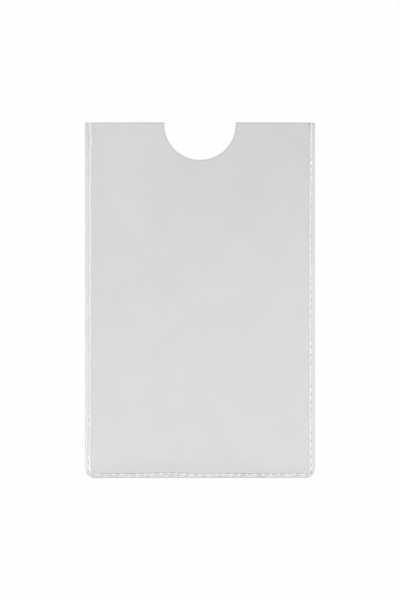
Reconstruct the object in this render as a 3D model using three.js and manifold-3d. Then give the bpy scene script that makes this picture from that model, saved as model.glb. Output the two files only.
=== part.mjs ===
// A clear plastic card sleeve: two films welded to each other along the two sides and the bottom,
// open at the mouth, with a half-round thumb notch cut through both films at the mouth.
// Millimetres, +Z up. The sleeve lies on its back film with the mouth towards +Y, and the origin
// is the middle of its footprint.
import * as THREE from 'three';
import { mergeGeometries, mergeVertices } from 'three/addons/utils/BufferGeometryUtils.js';
import Module from 'manifold-3d';

// Overall sizes of the cut sleeve
const SLEEVE_WIDTH = 60;
const SLEEVE_LENGTH = 93;
const CORNER_RADIUS = 3;

// The film, and the clear height of the pocket, which takes a bank-size card 0.76 thick
const FILM_THICKNESS = 0.2;
const POCKET_GAP = 0.9;

// The weld: a fused strip along the edge, pressed thinner than the two films together
const WELD_WIDTH = 2;
const WELD_THICKNESS = 0.35;

// The front film laps on to the weld by its lip, then climbs over a sloping shoulder to its panel
const LIP_WIDTH = 0.3;
const SHOULDER_WIDTH = 1;

// The thumb notch: a half circle with short straight sides up to the mouth edge
const NOTCH_RADIUS = 9.3;
const NOTCH_STRAIGHT = 0.5;

// The stitch-like imprint of the welding tool, one row of raised ribs
const STITCH_PITCH = 2.05;
const STITCH_LENGTH = 1.3;
const STITCH_WIDTH = 0.5;
const STITCH_HEIGHT = 0.1;

// How round shapes are drawn: steps in a quarter turn, and the handle of a Bezier quarter circle
const ARC_STEPS = 10;
const ARC_HANDLE = 0.5523;

// How far a cutting solid runs past what it cuts
const CUT_MARGIN = 1;

// Places worked out from the sizes
const EDGE_X = SLEEVE_WIDTH / 2;
const MOUTH_Y = SLEEVE_LENGTH / 2;
const FOOT_Y = -SLEEVE_LENGTH / 2;
const LIP_TOP = WELD_THICKNESS + FILM_THICKNESS;
const PANEL_UNDERSIDE = FILM_THICKNESS + POCKET_GAP;
const PANEL_TOP = PANEL_UNDERSIDE + FILM_THICKNESS;
const CORNER_REACH = Math.max(CORNER_RADIUS, WELD_WIDTH);
const STITCH_ROW = (WELD_WIDTH - LIP_WIDTH) / 2;

const wasm = await Module();
wasm.setup();

function toSolid(geometry) {
  const bare = geometry.clone();
  bare.deleteAttribute('normal');
  bare.deleteAttribute('uv');
  const { attributes, index } = mergeVertices(bare);
  const vertProperties = Float32Array.from(attributes.position.array);
  const triVerts = Uint32Array.from(index.array);
  return new wasm.Manifold(new wasm.Mesh({ numProp: 3, vertProperties, triVerts }));
}

function toGeometry(solid) {
  const { vertProperties, triVerts } = solid.getMesh();
  const geometry = new THREE.BufferGeometry();
  geometry.setAttribute('position', new THREE.BufferAttribute(vertProperties, 3));
  geometry.setIndex(new THREE.BufferAttribute(triVerts, 1));
  geometry.computeVertexNormals();
  return geometry;
}

// An outline raised into a solid between two heights
function prismGeometry(shape, bottom, top) {
  const settings = { depth: top - bottom, bevelEnabled: false, curveSegments: ARC_STEPS };
  return new THREE.ExtrudeGeometry(shape, settings).translate(0, 0, bottom);
}

function prism(shape, bottom, top) {
  return toSolid(prismGeometry(shape, bottom, top));
}

// A quarter circle from the path's last point to an end point, round the corner between them
function quarterArc(path, cornerX, cornerY, endX, endY) {
  const { x, y } = path.currentPoint;
  path.bezierCurveTo(
    x + (cornerX - x) * ARC_HANDLE, y + (cornerY - y) * ARC_HANDLE,
    endX + (cornerX - endX) * ARC_HANDLE, endY + (cornerY - endY) * ARC_HANDLE,
    endX, endY,
  );
}

// The sleeve's edge moved inwards: down the left side, along the bottom and up the right side
function edgeShape(inset, mouth = MOUTH_Y) {
  const side = EDGE_X - inset;
  const foot = FOOT_Y + inset;
  const radius = Math.max(CORNER_RADIUS - inset, 0);
  const shape = new THREE.Shape();
  shape.moveTo(-side, mouth);
  shape.lineTo(-side, foot + radius);
  if (radius > 0) quarterArc(shape, -side, foot, radius - side, foot);
  shape.lineTo(side - radius, foot);
  if (radius > 0) quarterArc(shape, side, foot, side, foot + radius);
  shape.lineTo(side, mouth);
  return shape;
}

function notchShape() {
  const centre = MOUTH_Y - NOTCH_STRAIGHT;
  const lowest = centre - NOTCH_RADIUS;
  const shape = new THREE.Shape();
  shape.moveTo(-NOTCH_RADIUS, MOUTH_Y + CUT_MARGIN);
  shape.lineTo(-NOTCH_RADIUS, centre);
  quarterArc(shape, -NOTCH_RADIUS, lowest, 0, lowest);
  quarterArc(shape, NOTCH_RADIUS, lowest, NOTCH_RADIUS, centre);
  shape.lineTo(NOTCH_RADIUS, MOUTH_Y + CUT_MARGIN);
  return shape;
}

// A shallow tray upside down, as wide as the pocket plus an outset all round: upright sides from
// its floor to the spring of the shoulder, the sloping shoulder on three sides, and a flat crown
function tray(outset, floor, spring, crown, mouth) {
  const side = EDGE_X - WELD_WIDTH + outset;
  const foot = FOOT_Y + WELD_WIDTH - outset;
  const length = mouth - foot;

  const across = new THREE.Shape([
    new THREE.Vector2(-side, floor),
    new THREE.Vector2(side, floor),
    new THREE.Vector2(side, spring),
    new THREE.Vector2(side - SHOULDER_WIDTH, crown),
    new THREE.Vector2(SHOULDER_WIDTH - side, crown),
    new THREE.Vector2(-side, spring),
  ]);
  const lengthwise = prismGeometry(across, -length, 0).rotateX(Math.PI / 2).translate(0, foot, 0);

  const along = new THREE.Shape([
    new THREE.Vector2(foot, floor),
    new THREE.Vector2(mouth, floor),
    new THREE.Vector2(mouth, crown),
    new THREE.Vector2(foot + SHOULDER_WIDTH, crown),
    new THREE.Vector2(foot, spring),
  ]);
  const turn = new THREE.Matrix4().set(0, 0, 1, 0, 1, 0, 0, 0, 0, 1, 0, 0, 0, 0, 0, 1);
  const crosswise = prismGeometry(along, -EDGE_X, EDGE_X).applyMatrix4(turn);

  return toSolid(lengthwise).intersect(toSolid(crosswise));
}

// The front film: a lip on the welds, the shoulders over the pocket's edges, and the flat panel.
// The outset keeps the film as thick on the slope as it is on the flat.
function frontFilm() {
  const slope = Math.atan2(PANEL_UNDERSIDE - WELD_THICKNESS, SHOULDER_WIDTH);
  const outset = FILM_THICKNESS * Math.tan(slope / 2);
  const lip = prism(edgeShape(WELD_WIDTH - LIP_WIDTH), WELD_THICKNESS, LIP_TOP);
  const outside = tray(outset, WELD_THICKNESS, LIP_TOP, PANEL_TOP, MOUTH_Y);
  const pocket = tray(0, 0, WELD_THICKNESS, PANEL_UNDERSIDE, MOUTH_Y + CUT_MARGIN);
  const notch = prism(notchShape(), -CUT_MARGIN, PANEL_TOP + CUT_MARGIN);
  return lip.add(outside).subtract(pocket).subtract(notch);
}

// The back film: flat, filling the space inside the welds
function backFilm() {
  const notch = prism(notchShape(), -CUT_MARGIN, FILM_THICKNESS + CUT_MARGIN);
  return prism(edgeShape(WELD_WIDTH), 0, FILM_THICKNESS).subtract(notch);
}

// The row of ribs that the welding tool leaves, pointed at both ends like a stitch
function stitchRow() {
  const tip = STITCH_LENGTH / 2;
  const half = STITCH_WIDTH / 2;
  const rib = new THREE.Shape([
    new THREE.Vector2(-tip, 0),
    new THREE.Vector2(half - tip, -half),
    new THREE.Vector2(tip - half, -half),
    new THREE.Vector2(tip, 0),
    new THREE.Vector2(tip - half, half),
    new THREE.Vector2(half - tip, half),
  ]);
  const row = edgeShape(STITCH_ROW);
  const count = Math.round(row.getLength() / STITCH_PITCH);
  const ribs = [];
  for (let i = 0; i < count; i++) {
    const share = (i + 0.5) / count;
    const place = row.getPointAt(share);
    const heading = row.getTangentAt(share).angle();
    const bar = prismGeometry(rib, WELD_THICKNESS / 2, WELD_THICKNESS + STITCH_HEIGHT);
    ribs.push(bar.rotateZ(heading).translate(place.x, place.y, 0));
  }
  return toSolid(mergeGeometries(ribs));
}

// The whole welded edge, before it is shared out among its straight strips and its corners
function weldedEdge() {
  const strip = prism(edgeShape(0), 0, WELD_THICKNESS);
  const pocketShape = edgeShape(WELD_WIDTH, MOUTH_Y + CUT_MARGIN);
  const pocket = prism(pocketShape, -CUT_MARGIN, WELD_THICKNESS + CUT_MARGIN);
  return strip.subtract(pocket).add(stitchRow());
}

// One stretch of the welded edge, between two places across and two places along the sleeve
function weldStretch(edge, left, right, low, high) {
  const top = WELD_THICKNESS + STITCH_HEIGHT + CUT_MARGIN;
  const box = new THREE.BoxGeometry(right - left, high - low, top + CUT_MARGIN);
  box.translate((left + right) / 2, (low + high) / 2, (top - CUT_MARGIN) / 2);
  return edge.intersect(toSolid(box));
}

function clearFilm() {
  return new THREE.MeshStandardMaterial({
    color: 0xe2e3e3, roughness: 0.15, metalness: 0, transparent: true, opacity: 0.35,
  });
}

function weldedFilm() {
  return new THREE.MeshStandardMaterial({
    color: 0xeaebeb, roughness: 0.3, metalness: 0, transparent: true, opacity: 0.5,
  });
}

const sleeve = new THREE.Group();

function addPiece(name, solid, material) {
  const mesh = new THREE.Mesh(toGeometry(solid), material);
  mesh.name = name;
  sleeve.add(mesh);
}

addPiece('back_film', backFilm(), clearFilm());
addPiece('front_film', frontFilm(), clearFilm());

const edge = weldedEdge();
const inner = EDGE_X - CORNER_REACH;
const cornerTop = FOOT_Y + CORNER_REACH;
addPiece('left_weld', weldStretch(edge, -EDGE_X, -inner, cornerTop, MOUTH_Y), weldedFilm());
addPiece('right_weld', weldStretch(edge, inner, EDGE_X, cornerTop, MOUTH_Y), weldedFilm());
addPiece('bottom_weld', weldStretch(edge, -inner, inner, FOOT_Y, cornerTop), weldedFilm());
addPiece('left_corner_weld', weldStretch(edge, -EDGE_X, -inner, FOOT_Y, cornerTop), weldedFilm());
addPiece('right_corner_weld', weldStretch(edge, inner, EDGE_X, FOOT_Y, cornerTop), weldedFilm());

export default sleeve;
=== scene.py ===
import math

import bpy
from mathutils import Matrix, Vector, noise


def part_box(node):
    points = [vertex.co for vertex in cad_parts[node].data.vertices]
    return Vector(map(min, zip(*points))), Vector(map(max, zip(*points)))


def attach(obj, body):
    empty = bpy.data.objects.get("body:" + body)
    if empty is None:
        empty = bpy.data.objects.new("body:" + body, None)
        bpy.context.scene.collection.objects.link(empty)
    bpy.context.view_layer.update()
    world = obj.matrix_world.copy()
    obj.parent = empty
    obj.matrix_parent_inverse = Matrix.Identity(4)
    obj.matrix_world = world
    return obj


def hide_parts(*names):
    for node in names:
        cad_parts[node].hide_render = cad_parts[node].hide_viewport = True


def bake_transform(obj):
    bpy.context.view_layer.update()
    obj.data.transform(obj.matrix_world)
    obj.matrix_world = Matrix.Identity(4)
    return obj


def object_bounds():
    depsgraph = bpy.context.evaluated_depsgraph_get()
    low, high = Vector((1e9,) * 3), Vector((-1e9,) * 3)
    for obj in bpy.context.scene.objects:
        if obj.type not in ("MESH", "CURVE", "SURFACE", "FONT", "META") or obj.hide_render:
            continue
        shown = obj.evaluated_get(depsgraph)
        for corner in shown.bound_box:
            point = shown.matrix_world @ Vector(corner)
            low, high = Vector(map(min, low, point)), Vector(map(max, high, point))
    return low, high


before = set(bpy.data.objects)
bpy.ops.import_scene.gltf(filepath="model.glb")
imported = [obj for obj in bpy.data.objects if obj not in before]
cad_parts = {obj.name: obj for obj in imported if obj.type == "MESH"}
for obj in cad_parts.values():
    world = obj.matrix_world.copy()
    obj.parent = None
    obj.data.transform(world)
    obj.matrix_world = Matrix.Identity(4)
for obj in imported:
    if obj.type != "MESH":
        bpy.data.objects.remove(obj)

cad_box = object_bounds()

# Back film
# A flat piece of clear PVC film, calendered smooth, that the whole sleeve lies on. It is die-cut with
# the half-round thumb notch in its mouth edge, and its other three sides run into the weld.
MM = 0.001
FILM_THICKNESS = 0.2 * MM
FILM_CORNER = 0.8 * MM
NOTCH_RADIUS = 9.3 * MM
NOTCH_STRAIGHT = 0.5 * MM
CUT_ROUNDING = 0.05 * MM
LIP_WIDTH = 0.3 * MM

# How finely the film is divided, and how the cuts find their edges and faces
FILM_STEP = 1.0 * MM
ARC_STEPS = 10
NOTCH_STEPS = 160
PUNCH_DEPTH = 5 * MM
CUT_TOLERANCE = 0.01 * MM
FACING = 0.9
SMOOTH_ANGLE = math.radians(30)

# The plastic: its tint where it is clear and where it is grey or in painted shade, and its haze and ripples
FILM_TINT = (0.872, 0.872, 0.872, 1)
FILM_GREY_AND_SHADE = (0.772, 0.772, 0.772, 1)
FILM_SHADE = (0.95, 0.95, 0.95, 1)
FILM_IOR = 1.54
FILM_ROUGHNESS = 0.06
HAZE_SCALE = 90
HAZE_DETAIL = 3
HAZE_LEAST = 0.7
HAZE_SPAN = 0.6
RIPPLE_SCALE = 30
RIPPLE_DETAIL = 1
RIPPLE_HEIGHT = 0.01 * MM

# Where the film is greyer: in faint clouds of its own, and in painted shade along the cut and at the foot
CLOUD_SCALE = 110
CLOUD_DETAIL = 3
CLOUD_SHARE = 0.32
CUT_SHADE_PLACE = 0.3 * MM
CUT_SHADE_REACH = 0.3 * MM
CUT_SHADE_SHARE = 0.35
FOOT_SHADE_SHARE = 0.15
FOOT_SHADE_REACH = 3.5 * MM

film_low, film_high = (Vector(corner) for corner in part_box("front_film"))
mouth = film_high.y
notch_centre = Vector((0, mouth - NOTCH_STRAIGHT, 0))


def add_block(name, low, high):
    """A block between two corners, as the active object in edit mode with all of it selected."""
    bpy.ops.object.select_all(action="DESELECT")
    bpy.ops.mesh.primitive_cube_add(size=1)
    block = bpy.context.object
    block.name = name
    bpy.ops.object.mode_set(mode="EDIT")
    bpy.ops.transform.resize(value=high - low)
    bpy.ops.transform.translate(value=(low + high) / 2)
    return block


def select_in_edit(piece, mode, chosen):
    """In edit mode, selects the vertices, edges or faces for which chosen(item, its places) is true."""
    bpy.ops.mesh.select_mode(type=mode)
    bpy.ops.mesh.select_all(action="DESELECT")
    bpy.ops.object.mode_set(mode="OBJECT")
    mesh = piece.data
    items = {"VERT": mesh.vertices, "EDGE": mesh.edges, "FACE": mesh.polygons}[mode]
    for item in items:
        corners = [item.index] if mode == "VERT" else item.vertices
        item.select = chosen(item, [mesh.vertices[i].co for i in corners])
    bpy.ops.object.mode_set(mode="EDIT")


def apply_modifier(piece, kind, **settings):
    """Adds one modifier to a piece with these settings, and applies it."""
    modifier = piece.modifiers.new(kind.title(), kind)
    for name, value in settings.items():
        setattr(modifier, name, value)
    bpy.ops.object.select_all(action="DESELECT")
    piece.select_set(True)
    bpy.context.view_layer.objects.active = piece
    bpy.ops.object.modifier_apply(modifier=modifier.name)


def distance_from_cut(place):
    """How far a place on a film lies from the cut of its mouth and notch."""
    across = Vector((place.x, place.y - notch_centre.y))
    return min(mouth - place.y, across.length - NOTCH_RADIUS)


def cut_lines(edge, far_end):
    """Places for cuts from a film's edge inwards: one along its lip, then evenly spaced ones."""
    lip = edge + LIP_WIDTH
    count = round((far_end - lip) / FILM_STEP)
    return [lip + (far_end - lip) * step / count for step in range(count)]


def cut_half_film(name):
    """The left half of a film as it leaves the die, a flat solid with an even grid of lines across it."""
    half = add_block(name, Vector((film_low.x, film_low.y, 0)), Vector((0, mouth, FILM_THICKNESS)))

    def foot_corner(edge, ends):
        at_side = all(end.x < film_low.x + CUT_TOLERANCE for end in ends)
        return at_side and all(end.y < film_low.y + CUT_TOLERANCE for end in ends)

    def mouth_rim(edge, ends):
        level = abs(ends[0].z - ends[1].z) < CUT_TOLERANCE
        return level and all(distance_from_cut(end) < CUT_TOLERANCE for end in ends)

    select_in_edit(half, "EDGE", foot_corner)
    bpy.ops.mesh.bevel(offset=FILM_CORNER, segments=ARC_STEPS, affect="EDGES")
    bpy.ops.object.mode_set(mode="OBJECT")
    bpy.ops.object.select_all(action="DESELECT")
    bpy.ops.mesh.primitive_cylinder_add(
        vertices=NOTCH_STEPS, radius=NOTCH_RADIUS, depth=PUNCH_DEPTH, location=notch_centre,
    )
    punch = bpy.context.object
    apply_modifier(half, "BOOLEAN", operation="DIFFERENCE", object=punch, solver="EXACT")
    bpy.data.objects.remove(punch, do_unlink=True)
    bpy.ops.object.mode_set(mode="EDIT")
    select_in_edit(half, "EDGE", mouth_rim)
    bpy.ops.mesh.bevel(offset=CUT_ROUNDING, segments=1, affect="EDGES")
    select_in_edit(half, "FACE", lambda face, ends: all(end.x > -CUT_TOLERANCE for end in ends))
    bpy.ops.mesh.delete(type="FACE")
    for x in cut_lines(film_low.x, 0):
        bpy.ops.mesh.select_all(action="SELECT")
        bpy.ops.mesh.bisect(plane_co=(x, 0, 0), plane_no=(1, 0, 0))
    for y in cut_lines(film_low.y, mouth):
        bpy.ops.mesh.select_all(action="SELECT")
        bpy.ops.mesh.bisect(plane_co=(0, y, 0), plane_no=(0, 1, 0))
    bpy.ops.object.mode_set(mode="OBJECT")
    return half


class Wire:
    """A socket of a material's nodes that takes part in sums like a number."""

    def __init__(self, tree, socket):
        self.tree = tree
        self.socket = socket

    def node(self, kind, settings, inputs, output=0):
        """Adds a node with these settings and these values or wires on its inputs."""
        made = self.tree.nodes.new("ShaderNode" + kind)
        for name, value in settings.items():
            setattr(made, name, value)
        for name, value in inputs.items():
            if isinstance(value, Wire):
                self.tree.links.new(value.socket, made.inputs[name])
            else:
                made.inputs[name].default_value = value
        return Wire(self.tree, made.outputs[output])

    def maths(self, operation, first, second):
        return self.node("Math", {"operation": operation}, {0: first, 1: second})

    def eased(self, near, far, first, last):
        """Goes smoothly from first to last as this wire's value goes from near to far."""
        return self.node("MapRange", {"interpolation_type": "SMOOTHSTEP"}, {
            "Value": self, "From Min": near, "From Max": far, "To Min": first, "To Max": last,
        })

    def tint(self, pale, grey):
        """The colour between two others at this wire's value, from a Mix node's colour sockets."""
        return self.node("Mix", {"data_type": "RGBA"}, {0: self, 6: pale, 7: grey}, 2)

    def __add__(self, other):
        return self.maths("ADD", self, other)

    def __mul__(self, other):
        return self.maths("MULTIPLY", self, other)

    def __sub__(self, other):
        return self.maths("SUBTRACT", self, other)

    def __rsub__(self, other):
        return self.maths("SUBTRACT", other, self)

    def __abs__(self):
        return self.node("Math", {"operation": "ABSOLUTE"}, {0: self})

    __radd__ = __add__
    __rmul__ = __mul__


def new_material(name):
    """An empty material, with a wire on its output node to start from."""
    material = bpy.data.materials.new(name)
    material.use_nodes = True
    material.node_tree.nodes.clear()
    output = material.node_tree.nodes.new("ShaderNodeOutputMaterial")
    return material, Wire(material.node_tree, output.inputs["Surface"])


def clear_plastic(start, tint, shade, roughness, ripple_scale, ripple_height):
    """Clear film: glass that bends light, and that lets lamps and bounced light straight through."""
    place = start.node("TexCoord", {}, {}, "Object")
    haze = start.node("TexNoise", {}, {"Vector": place, "Scale": HAZE_SCALE, "Detail": HAZE_DETAIL})
    ripples = start.node("TexNoise", {}, {"Vector": place, "Scale": ripple_scale, "Detail": RIPPLE_DETAIL})
    normal = start.node("Bump", {}, {"Height": ripples, "Strength": 1, "Distance": ripple_height})
    glass = start.node("BsdfPrincipled", {}, {
        "Base Color": tint, "Roughness": roughness * (HAZE_LEAST + HAZE_SPAN * haze), "IOR": FILM_IOR,
        "Transmission Weight": 1, "Normal": normal,
    })
    through = start.node("BsdfTransparent", {}, {"Color": shade})
    lamp_ray = start.node("LightPath", {}, {}, "Is Shadow Ray")
    bounce = start.node("LightPath", {}, {}, "Is Diffuse Ray")
    straight = start.maths("MAXIMUM", lamp_ray, bounce)
    surface = start.node("MixShader", {}, {0: straight, 1: glass, 2: through})
    start.tree.links.new(surface.socket, start.socket)


film_material, film_start = new_material("clear_film")
film_place = film_start.node("TexCoord", {}, {}, "Object")
flat_place = film_start.node("VectorMath", {"operation": "MULTIPLY"}, {0: film_place, 1: (1, 1, 0)})
from_centre = film_start.node(
    "VectorMath", {"operation": "DISTANCE"}, {0: flat_place, 1: notch_centre}, "Value",
)
film_height = film_start.node("SeparateXYZ", {}, {"Vector": film_place}, "Y")
from_cut = film_start.maths("MINIMUM", mouth - film_height, from_centre - NOTCH_RADIUS)
# Painted shade: a thin dark line just inside the cut of the mouth and notch
cut_painted_shade = abs(from_cut - CUT_SHADE_PLACE).eased(0, CUT_SHADE_REACH, 1, 0)
cloud = film_start.node(
    "TexNoise", {}, {"Vector": film_place, "Scale": CLOUD_SCALE, "Detail": CLOUD_DETAIL},
)
# Painted shade: the film is drawn greyer within a few millimetres of its foot
foot_painted_shade = film_height.eased(film_low.y, film_low.y + FOOT_SHADE_REACH, 1, 0)
film_grey_and_painted_light = CUT_SHADE_SHARE * cut_painted_shade + CLOUD_SHARE * cloud + FOOT_SHADE_SHARE * foot_painted_shade
film_tint_and_shade = film_grey_and_painted_light.tint(FILM_TINT, FILM_GREY_AND_SHADE)
clear_plastic(film_start, film_tint_and_shade, FILM_SHADE, FILM_ROUGHNESS, RIPPLE_SCALE, RIPPLE_HEIGHT)


def finish_film(film):
    """Gives a film its other half and its plastic."""
    apply_modifier(film, "MIRROR", use_axis=(True, False, False), merge_threshold=CUT_TOLERANCE)
    film.data.materials.append(film_material)
    bpy.ops.object.shade_smooth_by_angle(angle=SMOOTH_ANGLE)


back_film = cut_half_film("back_film_sheet")
finish_film(back_film)
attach(back_film, "back")
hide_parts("back_film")

# Front film
# The same film, laid over the back one and fused to it at its edges. The pocket has been drawn open,
# so it rises over a wide soft shoulder, stands a little clear of the back film and isn't quite flat.
FUSED_GAP = 0.02 * MM
SIDE_SHOULDER = 18.0 * MM
FOOT_SHOULDER = 10.0 * MM
WAVE_HEIGHT = 0.05 * MM
WAVE_LENGTH = 62 * MM
LENGTHWAYS_SKEW = 0.4
CROSSWAYS_SKEW = 0.3

lip_level = FILM_THICKNESS + FUSED_GAP
panel_level = film_high.z - FILM_THICKNESS
pocket_side = film_high.x - LIP_WIDTH
pocket_foot = film_low.y + LIP_WIDTH


def smooth_step(share):
    """Eases from 0 to 1 as share goes from 0 to 1, and stays there beyond."""
    share = min(max(share, 0.0), 1.0)
    return share * share * (3 - 2 * share)


def film_lift(place):
    """How far the film has risen, from 0 at its fused edges to 1 on the panel."""
    across = smooth_step((pocket_side - abs(place.x)) / SIDE_SHOULDER)
    short = 1 - min(max((place.y - pocket_foot) / FOOT_SHOULDER, 0), 1)
    return across * (1 - short * short)


def film_wave(place):
    """The slack of the film, in long shallow waves that run askew."""
    turn = 2 * math.pi / WAVE_LENGTH
    lengthways = math.sin((place.y + LENGTHWAYS_SKEW * place.x) * turn)
    crossways = math.cos((place.x - CROSSWAYS_SKEW * place.y) * turn)
    return WAVE_HEIGHT * lengthways * crossways


# The film is held by the weld at both sides, so its half is blended first and the mirror copies that
front_film = cut_half_film("front_film_sheet")
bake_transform(front_film)
finish_film(front_film)
for vertex in front_film.data.vertices:
    rise = panel_level - lip_level - WAVE_HEIGHT + film_wave(vertex.co)
    vertex.co.z += lip_level + rise * film_lift(vertex.co)
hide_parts("front_film")

# Welded edge
# Where the two films are fused by the welding tool, along both sides and the bottom. The tool presses
# a thin track with a row of stitch-like ribs and pits, between a rim and a bead along the pocket. Its
# colour is a grey over its face: partly the plastic's own, and partly painted shade and painted highlights.
WELD_WIDTH = 1.69 * MM
WELD_CORNER = 2.5 * MM
WELD_STEP = 0.05 * MM
WELD_SMOOTH_ANGLE = math.radians(60)
TRACK_LEVEL = 0.28 * MM

# The section: distance from the cut edge and height, both in millimetres, and how grey it is, partly the
# plastic's own grey and partly painted shade and painted highlights
WELD_SECTION = (
    (0.00, 0.09, 0.84),
    (0.16, 0.22, 0.70),
    (0.38, 0.315, 0.35),
    (0.46, 0.318, 0.38),
    (0.82, 0.283, 0.48),
    (1.00, 0.28, 0.48),
    (1.07, 0.35, 0.42),
    (1.10, 0.365, 0.40),
    (1.29, 0.413, 0.40),
    (1.33, 0.413, 0.44),
    (1.51, 0.366, 0.52),
    (1.75, 0.378, 0.52),
)
SECTION_ROUNDING = 0.03
ROUNDING_SHIFTS = (-1, -0.5, 0, 0.5, 1)
RIM_END = 0.37 * MM
TRACK_END = 1.03 * MM
BEAD_END = 1.35 * MM

# The row of stitches. The left side was pressed in a longer pitch than the right side and the foot.
STITCH_ROW = 0.96 * MM
STITCH_PITCH = 2.05 * MM
STITCH_STEPS = 16
LEFT_PITCH = 2.245 * MM
LEFT_START = 1.49 * MM
RIGHT_START = 0.80 * MM
FOOT_START = 0
RIB_WIDTH = 0.5 * MM
RIB_HEIGHT = 0.02 * MM
RIB_PAINTED_HIGHLIGHT = 0.06

# The pits between the ribs, in painted shade on the sides and painted clear along the foot as highlights
PIT_ROW = 0.87 * MM
PIT_LENGTH = 0.64 * MM
PIT_WIDTH = 0.40 * MM
PIT_DEPTH = 0.10 * MM
PIT_SHIFT = 0.15 * MM
PIT_PAINTED_SHADE = 0.92
RIB_EASE = PIT_LENGTH / 4
FOOT_ROW = 1.12 * MM
FOOT_PIT_LENGTH = 1.3 * MM
FOOT_PIT_WIDTH = 0.75 * MM
FOOT_PIT_PAINTED_SHADE = 0.18
GREY_STEEPNESS = 2

# How hard each pit is pressed: by chance, harder towards the foot, and hardly at all at the mouth.
# Each swing is a strength, and how quickly it changes from stitch to stitch.
PIT_FAINTEST = 0.3
PRESS_SWINGS = ((0.3, 0.23), (0.4, 0.77))
SHIFT_RATE = 0.61
DEEPER = (40 * MM, 70 * MM)
LEFT_PRESS = (0.6, 0.85)
LEFT_PRESS_LENGTH = 16 * MM
RIGHT_PRESS = (0.75, 1.1)
RIGHT_PRESS_LENGTH = 5 * MM

# How the tracks wander: they sway, lean out at the right of the mouth, pucker near the left of it, and
# bow along the foot. The rim keeps straight. The side tracks cross the foot's at the corners.
UNEVENNESS = 1.6
UNEVENNESS_PLACE = (6.05, 0.5)
SWAY = 0.10 * MM
SWAY_LENGTH = 7 * MM
SWAY_START = 0.45 * MM
SWAY_FULL = 0.75 * MM
LEAN = 0.5 * MM
LEAN_REACH = 20 * MM
PUCKER_PLACE = 4.86 * MM
PUCKER_LENGTH = 1.9 * MM
PUCKER_SHIFT = 0.22 * MM
FOOT_DRIFT = 0.24 * MM
FOOT_BOW = 0.2 * MM
FOOT_BOW_PLACE = -8 * MM
FOOT_BOW_LENGTH = 9 * MM
CROSSING = 0.8 * MM

# Painted shade and painted highlights, where the weld is drawn greyer or clearer than its section,
# and streaks of the plastic's own uneven tone
SIDE_PAINTED_SHADE = 0.10
LEFT_MOUTH_PAINTED_SHADE = 0.07
RIGHT_MOUTH_PAINTED_SHADE = 0.14
MOUTH_REACH = 6 * MM
END_PAINTED_SHADE = 0.25
END_REACH = 0.4 * MM
CORNER_PAINTED_SHADE = 0.3
CORNER_REACH = 2.8 * MM
LEFT_RIM_PAINTED_HIGHLIGHT = 0.18
PAINTED_GLEAM = 0.36
GLEAM_REACH = 11 * MM
STREAK_START = 0.5 * MM
STREAK_WIDTH = 0.3 * MM
STREAK_LENGTH = 1.5 * MM
STREAK_GREY = 0.06
FOOT_STREAK_LENGTH = 0.8 * MM
FOOT_STREAK_GREY = 0.25
FOOT_LINE = 1.48 * MM
FOOT_LINE_WIDTH = 0.24 * MM
FOOT_LINE_LENGTH = 4 * MM
FOOT_LINE_PAINTED_SHADE = 0.28
FOOT_LINE_SWING = 0.4
FOOT_LINE_START = 0.7

# The plastic of the weld, more finely rippled than the film, and its tints from clear to grey and painted
# shade
CLEAR_TINT = (0.95, 0.95, 0.95, 1)
GREY_AND_SHADE_TINT = (0.15, 0.15, 0.15, 1)
WELD_SHADE = (0.95, 0.95, 0.95, 1)
WELD_ROUGHNESS = 0.05
WELD_RIPPLE_SCALE = 300
WELD_RIPPLE_HEIGHT = 0.004 * MM

edge_low, edge_high = (Vector(corner) for corner in cad_box)
side_length = edge_high.y - edge_low.y
row_length = 2 * side_length + edge_high.x - edge_low.x - 4 * STITCH_ROW
stitch_count = round(row_length / STITCH_PITCH)
pitch = row_length / stitch_count


def mound(share):
    """A smooth mound of height 1 where share is 0, down to 0 where it is 1 or more."""
    return (1 - min(share * share, 1)) ** 2


def between(first, second, share):
    return first + (second - first) * share


def unevenness(along, across=0.0):
    """A number from about -1 to 1 that changes smoothly with a place along the weld, and across it."""
    return UNEVENNESS * noise.noise(Vector((along, UNEVENNESS_PLACE[0] + across, UNEVENNESS_PLACE[1])))


def section_at(across):
    """The height of the weld's section, and its grey with painted shade and highlights, between its points,
    at a distance from its edge.
    """
    for (near, low, pale), (far, high, dark) in zip(WELD_SECTION, WELD_SECTION[1:]):
        if across <= far:
            share = max(across - near, 0) / (far - near)
            return Vector((between(low, high, share), between(pale, dark, share)))
    return Vector(WELD_SECTION[-1][1:])


class WeldSpot:
    """Where a point of the weld lies: how far from its edges, along its row and across its section."""

    def __init__(self, point):
        self.left = point.x < 0
        self.from_side = edge_high.x - abs(point.x)
        self.from_foot = point.y - edge_low.y
        self.from_mouth = edge_high.y - point.y
        self.on_foot = self.from_foot < self.from_side
        self.foot = smooth_step(0.5 + (self.from_side - self.from_foot) / CROSSING)
        if self.on_foot:
            self.along, self.row_start, self.pitch = row_length / 2 + point.x, FOOT_START, pitch
        elif self.left:
            self.along, self.row_start, self.pitch = self.from_mouth, LEFT_START, LEFT_PITCH
        else:
            self.along, self.row_start, self.pitch = row_length - self.from_mouth, RIGHT_START, pitch

        across = min(self.from_side, self.from_foot)
        bow = mound((point.x - FOOT_BOW_PLACE) / FOOT_BOW_LENGTH)
        lean = LEAN * math.exp(-math.sqrt(max(row_length - self.along, 0) / LEAN_REACH))
        sway = SWAY * unevenness(self.along / SWAY_LENGTH)
        self.pucker = mound((self.along - PUCKER_PLACE) / PUCKER_LENGTH)
        drift = (FOOT_DRIFT - FOOT_BOW * bow) * self.foot + lean + sway - PUCKER_SHIFT * self.pucker
        moved = smooth_step((across - SWAY_START) / (SWAY_FULL - SWAY_START))
        self.place = across + drift * moved
        self.row_place = self.place - lean * moved


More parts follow.
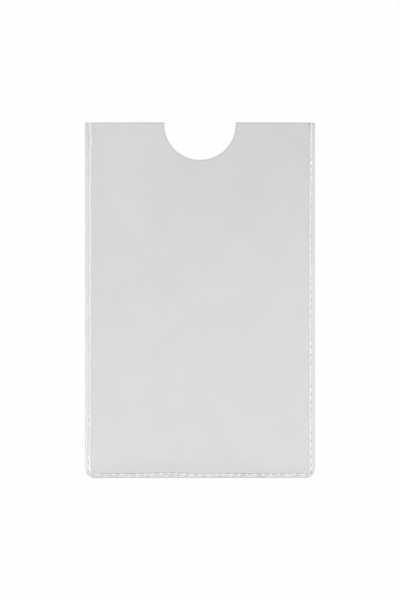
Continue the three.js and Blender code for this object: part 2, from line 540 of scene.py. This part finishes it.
def painted_weld_shade(spot):
    """The painted shade added to the weld's section at a spot, or painted highlight below 0; its streaks are
    the plastic's own tone.
    """
    side = 1 - spot.foot
    shade = 0
    # Painted shade: the track greyer towards the mouth and clearer towards the foot
    if spot.place < TRACK_END:
        shade += SIDE_PAINTED_SHADE * (0.5 - spot.from_mouth / side_length) * side
    if spot.place < TRACK_END or spot.place > BEAD_END:
        # Painted shade near the mouth, stronger on the right, and a dark line at the mouth's edge
        mouth_painted_shade = LEFT_MOUTH_PAINTED_SHADE if spot.left else RIGHT_MOUTH_PAINTED_SHADE
        shade += mouth_painted_shade * math.exp(-spot.from_mouth / MOUTH_REACH)
        shade += END_PAINTED_SHADE * math.exp(-spot.from_mouth / END_REACH)
    if spot.place < BEAD_END:
        streak_length = FOOT_STREAK_LENGTH if spot.on_foot else STREAK_LENGTH
        streak = unevenness(spot.along / streak_length, spot.place / STREAK_WIDTH)
        streak *= smooth_step(spot.place / STREAK_START)
        # Painted shade in the corners where the side and foot welds meet
        shade += CORNER_PAINTED_SHADE * mound(max(spot.from_side, spot.from_foot) / CORNER_REACH)
        shade += streak * between(STREAK_GREY, FOOT_STREAK_GREY, spot.foot)
    # Painted highlight: the left rim is drawn clearer, more so towards the foot
    if spot.left and spot.place < RIM_END:
        shade -= LEFT_RIM_PAINTED_HIGHLIGHT * math.sqrt(max(spot.from_mouth, 0) / side_length) * side
    # Painted highlight: the left bead is drawn clearer near the foot
    if spot.left and TRACK_END < spot.place < BEAD_END:
        shade -= PAINTED_GLEAM * mound(spot.from_foot / GLEAM_REACH) * side
    # Painted shade: a dark line along the inner side of the foot's weld
    line = FOOT_LINE_PAINTED_SHADE * (1 + FOOT_LINE_SWING * unevenness(spot.along / FOOT_LINE_LENGTH))
    line *= smooth_step(spot.from_side / CORNER_REACH - FOOT_LINE_START)
    return shade + line * spot.foot * mound((spot.place - FOOT_LINE) / FOOT_LINE_WIDTH)


def stitch_marks(spot):
    """How far the pit of the nearest stitch and the rib beside it stand out at a spot, from 0 to about 1."""
    stitch = round((spot.along - spot.row_start) / spot.pitch)
    off_pit = spot.along - spot.row_start - stitch * spot.pitch
    off_pit -= PIT_SHIFT * unevenness(stitch * SHIFT_RATE)
    off_row = spot.row_place - between(PIT_ROW, FOOT_ROW, spot.foot)
    pit_length = between(PIT_LENGTH, FOOT_PIT_LENGTH, spot.foot)
    pit_width = between(PIT_WIDTH, FOOT_PIT_WIDTH, spot.foot)

    press, press_length = RIGHT_PRESS, RIGHT_PRESS_LENGTH
    if spot.left:
        press, press_length = LEFT_PRESS, LEFT_PRESS_LENGTH
    deeper = smooth_step((spot.from_mouth - DEEPER[0]) / (DEEPER[1] - DEEPER[0]))
    pressed = between(*press, deeper) * smooth_step(spot.from_mouth / press_length)
    pressed = between(pressed, 1, spot.foot)
    chance = sum((swing * unevenness(stitch * rate) for swing, rate in PRESS_SWINGS), 0.5)
    strength = pressed * between(PIT_FAINTEST, 1, smooth_step(chance))
    strength = max(strength, smooth_step(GREY_STEEPNESS * spot.pucker))

    pit = strength * mound(2 * math.hypot(off_row / pit_width, off_pit / pit_length))
    rib = pressed * mound(2 * (spot.row_place - STITCH_ROW) / RIB_WIDTH)
    rib *= smooth_step((abs(off_pit) - PIT_LENGTH / 2) / RIB_EASE)
    return pit, rib


def weld_surface(point):
    """The height of the weld's upper face at a point, and its grey with painted shade and highlights."""
    spot = WeldSpot(point)
    pit, rib = stitch_marks(spot)
    rounded = [section_at(spot.place / MM + shift * SECTION_ROUNDING) for shift in ROUNDING_SHIFTS]
    height, grey_and_painted_light = sum(rounded, Vector((0, 0))) / len(rounded)
    # Ribs are drawn clearer: a painted highlight for their bright dashes
    grey_and_painted_light += painted_weld_shade(spot) - RIB_PAINTED_HIGHLIGHT * rib * (1 - spot.foot)
    # Pits: painted shade on the sides, a painted highlight along the foot
    pit_painted_shade = between(PIT_PAINTED_SHADE, FOOT_PIT_PAINTED_SHADE, spot.foot)
    grey_and_painted_light = between(grey_and_painted_light, pit_painted_shade, smooth_step(GREY_STEEPNESS * pit))
    return height * MM + RIB_HEIGHT * rib - PIT_DEPTH * pit, grey_and_painted_light


def row_mouth(edge, ends):
    return all(end.y > row_high.y - CUT_TOLERANCE for end in ends)


# The path of the row: down the left side, round the foot and up the right side
row_low = Vector((edge_low.x + STITCH_ROW, edge_low.y + STITCH_ROW, 0))
row_high = Vector((edge_high.x - STITCH_ROW, edge_high.y, 0))
bpy.ops.object.select_all(action="DESELECT")
bpy.ops.mesh.primitive_plane_add(size=1)
row_path = bpy.context.object
bpy.ops.object.mode_set(mode="EDIT")
bpy.ops.transform.resize(value=(row_high.x - row_low.x, row_high.y - row_low.y, 1))
bpy.ops.transform.translate(value=(row_low + row_high) / 2)
select_in_edit(row_path, "VERT", lambda vertex, ends: ends[0].y < 0)
bpy.ops.mesh.bevel(offset=WELD_CORNER - STITCH_ROW, segments=2 * ARC_STEPS, affect="VERTICES")
select_in_edit(row_path, "EDGE", row_mouth)
bpy.ops.mesh.delete(type="EDGE_FACE")
bpy.ops.object.mode_set(mode="OBJECT")
row_places = [vertex.co for vertex in row_path.data.vertices]
row_steps = [edge.vertices for edge in row_path.data.edges]
path_length = sum((row_places[a] - row_places[b]).length for a, b in row_steps)
bpy.ops.object.convert(target="CURVE")

# One stitch's length of flat strip, repeated along the path, then pressed into its section
strip_length = path_length / stitch_count
strip_low = Vector((0, -STITCH_ROW, 0))
strip_high = Vector((strip_length, WELD_WIDTH - STITCH_ROW, TRACK_LEVEL))
weld = add_block("welded_edge", strip_low, strip_high)
select_in_edit(weld, "FACE", lambda face, ends: abs(face.normal.x) > FACING)
bpy.ops.mesh.delete(type="FACE")
weld_columns = round(WELD_WIDTH / WELD_STEP)
for column in range(1, weld_columns):
    select_in_edit(weld, "FACE", lambda face, ends: face.normal.z > FACING)
    across = WELD_WIDTH * column / weld_columns
    bpy.ops.mesh.bisect(
        plane_co=(0, across - STITCH_ROW, 0), plane_no=(0, 1, 0), threshold=CUT_TOLERANCE,
    )
for step in range(1, STITCH_STEPS):
    bpy.ops.mesh.select_all(action="SELECT")
    bpy.ops.mesh.bisect(plane_co=(strip_length * step / STITCH_STEPS, 0, 0), plane_no=(1, 0, 0))
bpy.ops.object.mode_set(mode="OBJECT")
apply_modifier(
    weld, "ARRAY", count=stitch_count, use_relative_offset=False, use_constant_offset=True,
    constant_offset_displace=(strip_length, 0, 0), use_merge_vertices=True, merge_threshold=CUT_TOLERANCE,
)
apply_modifier(weld, "CURVE", object=row_path, deform_axis="POS_X")
bpy.data.objects.remove(row_path, do_unlink=True)
# The weld's grey, painted shade and painted highlights, kept on each vertex for its material
grey_and_painted_light = weld.data.attributes.new("grey_and_painted_light", "FLOAT", "POINT")
for vertex, grey in zip(weld.data.vertices, grey_and_painted_light.data):
    if vertex.co.z > TRACK_LEVEL / 2:
        vertex.co.z, grey.value = weld_surface(vertex.co)
bpy.ops.object.mode_set(mode="EDIT")
bpy.ops.mesh.select_mode(type="EDGE")
bpy.ops.mesh.select_all(action="DESELECT")
bpy.ops.mesh.select_non_manifold()
bpy.ops.mesh.edge_face_add()
bpy.ops.mesh.select_all(action="SELECT")
bpy.ops.mesh.normals_make_consistent(inside=False)
bpy.ops.object.mode_set(mode="OBJECT")

weld_material, weld_start = new_material("welded_film")
weld_grey_and_painted_light = weld_start.node("Attribute", {"attribute_name": "grey_and_painted_light"}, {}, "Fac")
weld_tint_and_painted_light = weld_grey_and_painted_light.tint(CLEAR_TINT, GREY_AND_SHADE_TINT)
clear_plastic(weld_start, weld_tint_and_painted_light, WELD_SHADE, WELD_ROUGHNESS, WELD_RIPPLE_SCALE, WELD_RIPPLE_HEIGHT)
weld.data.materials.append(weld_material)
bpy.ops.object.shade_smooth_by_angle(angle=WELD_SMOOTH_ANGLE)
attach(weld, "back")
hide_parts("left_weld", "right_weld", "bottom_weld", "left_corner_weld", "right_corner_weld")

# Floor
# A plain matt white table top, just under the sleeve. Where it is looked at, straight on, mirrored or
# through the films, most of its white is an even glow, and the rest is lit and keeps the shadow.
FLOOR_SIZE = 6.0
FLOOR_GAP = 0.05 * MM
FLOOR_COLOUR = (0.9, 0.9, 0.9, 1)
FLOOR_GLOW = 0.9
WHITE = (1, 1, 1, 1)

bpy.ops.object.select_all(action="DESELECT")
bpy.ops.mesh.primitive_plane_add(size=FLOOR_SIZE, location=(0, 0, -FLOOR_GAP))
floor = bpy.context.object
floor.name = "floor"
floor_material, floor_start = new_material("floor")
matt = floor_start.node("BsdfDiffuse", {}, {"Color": FLOOR_COLOUR})
glow = floor_start.node("Emission", {}, {"Color": WHITE, "Strength": 1})
seen = floor_start.node("LightPath", {}, {}, "Is Camera Ray")
mirrored = floor_start.node("LightPath", {}, {}, "Is Glossy Ray")
seen_through = floor_start.node("LightPath", {}, {}, "Is Transmission Ray")
looked_at = floor_start.maths("MAXIMUM", floor_start.maths("MAXIMUM", seen, mirrored), seen_through)
floor_surface = floor_start.node("MixShader", {}, {0: FLOOR_GLOW * looked_at, 1: matt, 2: glow})
floor_start.tree.links.new(floor_surface.socket, floor_start.socket)
floor.data.materials.append(floor_material)

# Sky
# The studio around the sleeve, which the films mirror: a dim room with a soft glow overhead, brighter
# to the sides, and a ring of windows round the horizon that shows in low views. The camera sees white.
SKY_LEVEL = 0.30
SKY_WHITE = 1.0
GLOW_LEVEL = 0.68
GLOW_EDGE = (-0.07, 0.12)
GLOW_FADE = (-0.75, -0.10)
GLOW_TURN = math.radians(12)
SIDE_LEVEL = 0.12
SIDE_REACH = 0.30
RIGHT_LEVEL = 0.16
RIGHT_REACH = 0.05
RIGHT_BAND = 0.06
HORIZON_EDGE = (0.45, 0.9)
WINDOW_COUNT = 9
WINDOW_EDGE = 0.5
WINDOW_LEVELS = (0.45, 1.0)

world = bpy.data.worlds.new("studio")
bpy.context.scene.world = world
world.use_nodes = True
world.node_tree.nodes.clear()
sky_output = world.node_tree.nodes.new("ShaderNodeOutputWorld")
sky = Wire(world.node_tree, sky_output.inputs["Surface"])
direction = sky.node("TexCoord", {}, {}, "Generated")
sideways = sky.node("SeparateXYZ", {}, {"Vector": direction}, "X")
lengthways = sky.node("SeparateXYZ", {}, {"Vector": direction}, "Y")
upwards = sky.node("SeparateXYZ", {}, {"Vector": direction}, "Z")
tilt = lengthways * math.cos(GLOW_TURN) + sideways * math.sin(GLOW_TURN)
glow_edge = tilt.eased(*GLOW_EDGE, 1, 0)
glow_fade = tilt.eased(*GLOW_FADE, 0, 1)
side_glow = abs(sideways).eased(0, SIDE_REACH, 0, 1)
right_band = abs(lengthways).eased(0, RIGHT_BAND, 1, 0)
to_right = sky.node("MapRange", {}, {
    "Value": sideways, "From Min": -RIGHT_REACH, "From Max": RIGHT_REACH, "To Min": -1, "To Max": 1,
})
level = SKY_LEVEL + GLOW_LEVEL * glow_edge * glow_fade + SIDE_LEVEL * side_glow
level = level + RIGHT_LEVEL * right_band * to_right
horizon = upwards.eased(*HORIZON_EDGE, 1, 0)
bearing = sky.maths("ARCTAN2", sideways, lengthways)
windows = sky.node("Math", {"operation": "SINE"}, {0: WINDOW_COUNT * bearing})
window_level = windows.eased(-WINDOW_EDGE, WINDOW_EDGE, *WINDOW_LEVELS)
level = level + horizon * (window_level - level)
backdrop = sky.node("LightPath", {}, {}, "Is Camera Ray")
strength = level + backdrop * (SKY_WHITE - level)
sky_light = sky.node("Background", {}, {"Color": WHITE, "Strength": strength})
sky.tree.links.new(sky_light.socket, sky.socket)

# Lamps
# A soft box on each side and a strip light on the left, in metres and watts, all aimed at the sleeve.
# Each passes by the pieces that would mirror it as a white patch: the sky alone lights the films, the
# left soft box only the floor, the strip light only the weld, and the right soft box both of these.
LAMPS = (
    {
        "name": "left_soft_box", "place": (-1.1, 0, 0.8), "length": 0.9, "height": 1.3, "power": 9.5,
        "passes_by": (back_film, front_film, weld),
    },
    {
        "name": "right_soft_box", "place": (0.75, 0, 1.3), "length": 0.5, "height": 0.7, "power": 4,
        "passes_by": (back_film, front_film),
    },
    {
        "name": "left_strip", "place": (-0.84, 0, 1.07), "length": 0.9, "height": 0.48, "power": 3.5,
        "passes_by": (back_film, front_film, floor),
    },
)

for box in LAMPS:
    lamp = bpy.data.lights.new(box["name"], "AREA")
    lamp.shape = "RECTANGLE"
    lamp.size = box["length"]
    lamp.size_y = box["height"]
    lamp.energy = box["power"]
    lamp_object = bpy.data.objects.new(box["name"], lamp)
    lamp_object.location = box["place"]
    lamp_object.rotation_euler = Vector(box["place"]).to_track_quat("Z", "Y").to_euler()
    unlit = bpy.data.collections.new(box["name"] + "_unlit")
    for piece in box["passes_by"]:
        unlit.objects.link(piece)
    for member in unlit.collection_objects:
        member.light_linking.link_state = "EXCLUDE"
    lamp_object.light_linking.receiver_collection = unlit
    bpy.context.collection.objects.link(lamp_object)

# Camera
# A long lens straight above the sleeve, so that its sides stay square. The heights of the picture and
# of the sleeve in it are in pixels, and set how far off the camera stands.
LENS = 150
SENSOR = 36
PICTURE_HEIGHT = 600
SLEEVE_HEIGHT = 355.3
CAMERA_SHIFT = 0.07 * MM

camera = bpy.data.cameras.new("camera")
camera.lens = LENS
camera.sensor_width = SENSOR
camera_object = bpy.data.objects.new("camera", camera)
frame_height = side_length * PICTURE_HEIGHT / SLEEVE_HEIGHT
camera_object.location = (0, CAMERA_SHIFT, frame_height * LENS / SENSOR)
bpy.context.collection.objects.link(camera_object)
bpy.context.scene.camera = camera_object
bpy.context.scene.view_settings.view_transform = "Standard"
